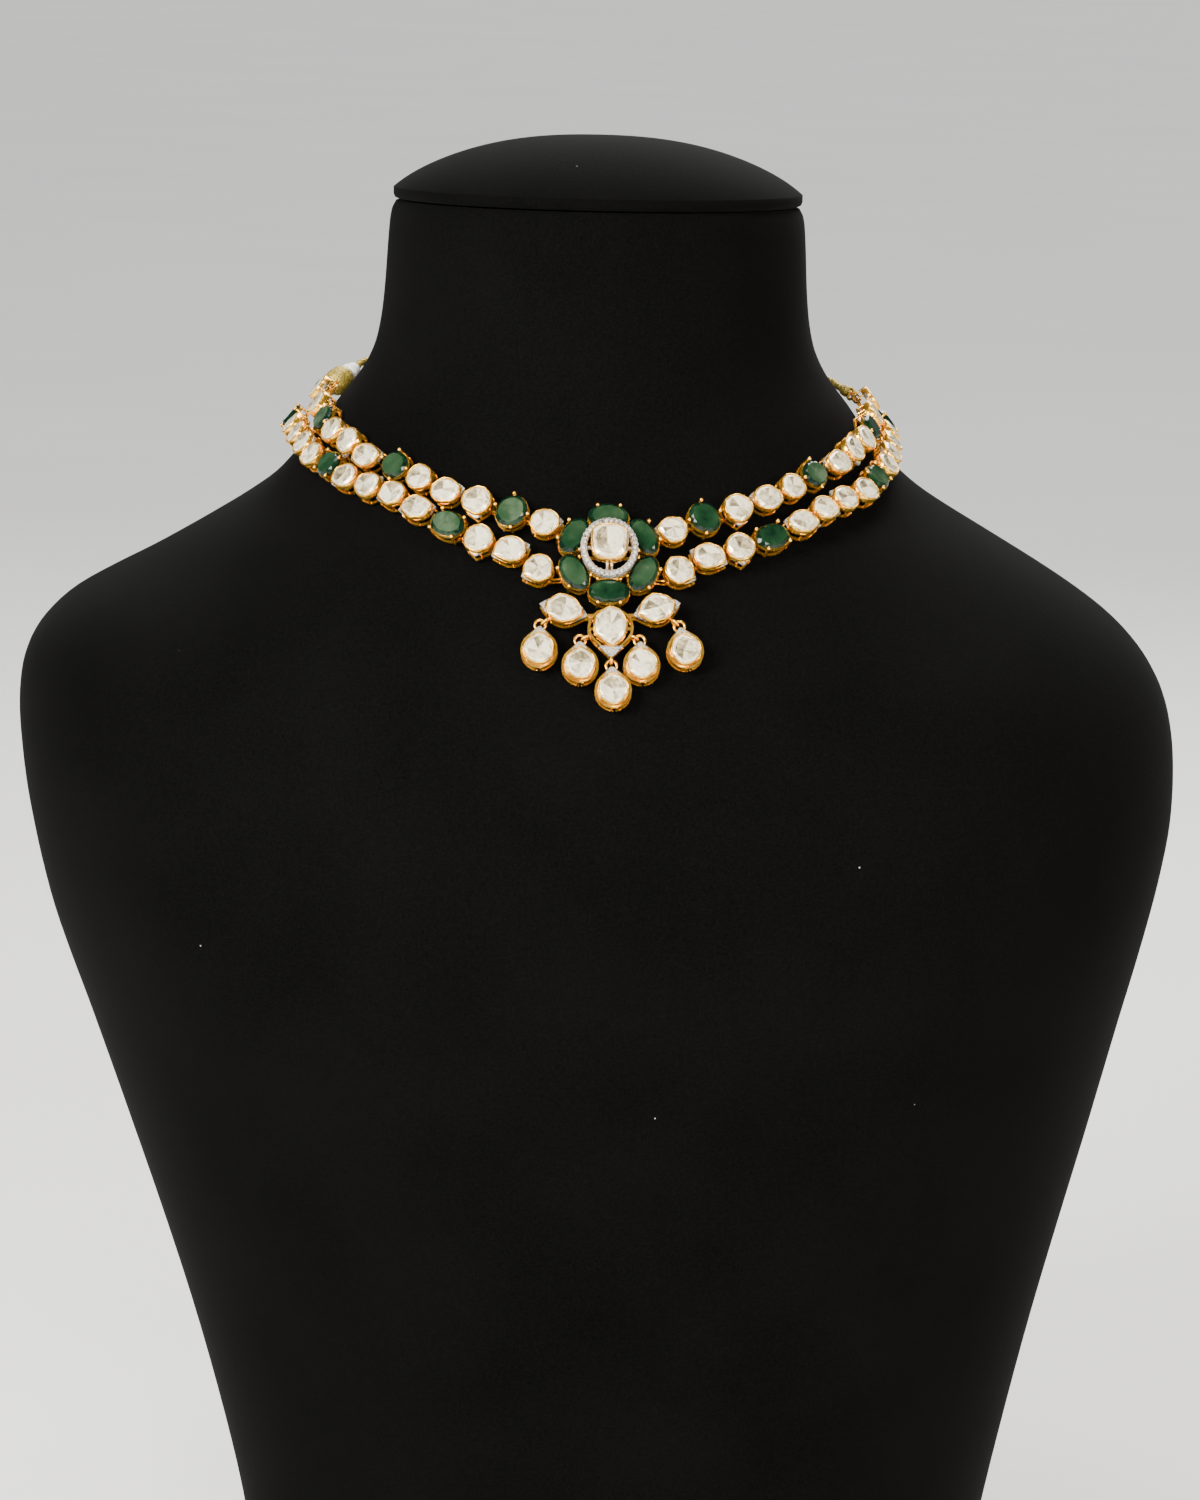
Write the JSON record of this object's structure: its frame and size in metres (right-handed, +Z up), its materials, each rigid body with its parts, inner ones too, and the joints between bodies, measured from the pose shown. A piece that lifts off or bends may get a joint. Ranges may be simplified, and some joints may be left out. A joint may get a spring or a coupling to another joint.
{
  "type": "polki necklace on neck bust",
  "caption": "Two-row choker of uncut polki and oval emeralds in gold, with a flower centre, pear drops and a tie cord, worn by a plain black neck bust.",
  "frame": {"origin": "middle of the bust's flat base", "axes": "+Z up, -Y towards the viewer and the necklace's front, +X to the viewer's right"},
  "size_m": [0.3123, 0.1912, 0.4062],
  "materials": {
    "suede": "matte black flock on a moulded bust",
    "gold": "polished yellow gold plating, warm orange on the walls",
    "white_gold": "rhodium-white metal under small diamonds",
    "polki": "uncut diamond slice over silver foil",
    "emerald": "polished oval cut with a broad table",
    "zari_cord": "olive-gold thread, twisted and wound",
    "white_thread": "white cotton binding"
  },
  "bodies": {
    "root": {"neck_bust": "suede", "neck_cap": "suede", "upper_left_settings": "gold", "upper_left_polki": "polki", "upper_right_settings": "gold", "upper_right_polki": "polki", "lower_left_settings": "gold", "lower_left_polki": "polki", "lower_right_settings": "gold", "lower_right_polki": "polki", "upper_left_emerald_1": "emerald", "upper_left_emerald_2": "emerald", "upper_left_emerald_3": "emerald", "upper_right_emerald_1": "emerald", "upper_right_emerald_2": "emerald", "upper_right_emerald_3": "emerald", "lower_left_emerald_1": "emerald", "lower_left_emerald_2": "emerald", "lower_left_emerald_3": "emerald", "lower_right_emerald_1": "emerald", "lower_right_emerald_2": "emerald", "lower_right_emerald_3": "emerald", "flower_setting": "gold", "halo_setting": "white_gold", "centre_polki": "polki", "flower_emerald_1": "emerald", "flower_emerald_2": "emerald", "flower_emerald_3": "emerald", "flower_emerald_4": "emerald", "flower_emerald_5": "emerald", "flower_emerald_6": "emerald", "pendant_setting": "gold", "pendant_link": "gold", "pendant_polki_1": "polki", "pendant_polki_2": "polki", "pendant_polki_3": "polki", "drop_setting_1": "gold", "drop_setting_2": "gold", "drop_setting_3": "gold", "drop_setting_4": "gold", "drop_setting_5": "gold", "drop_polki_1": "polki", "drop_polki_2": "polki", "drop_polki_3": "polki", "drop_polki_4": "polki", "drop_polki_5": "polki", "end_bar_left": "gold", "end_bar_right": "gold", "dori_cord": "zari_cord", "dori_bead": "zari_cord", "dori_thread": "white_thread", "dori_knot": "zari_cord"}
  },
  "joints": []
}
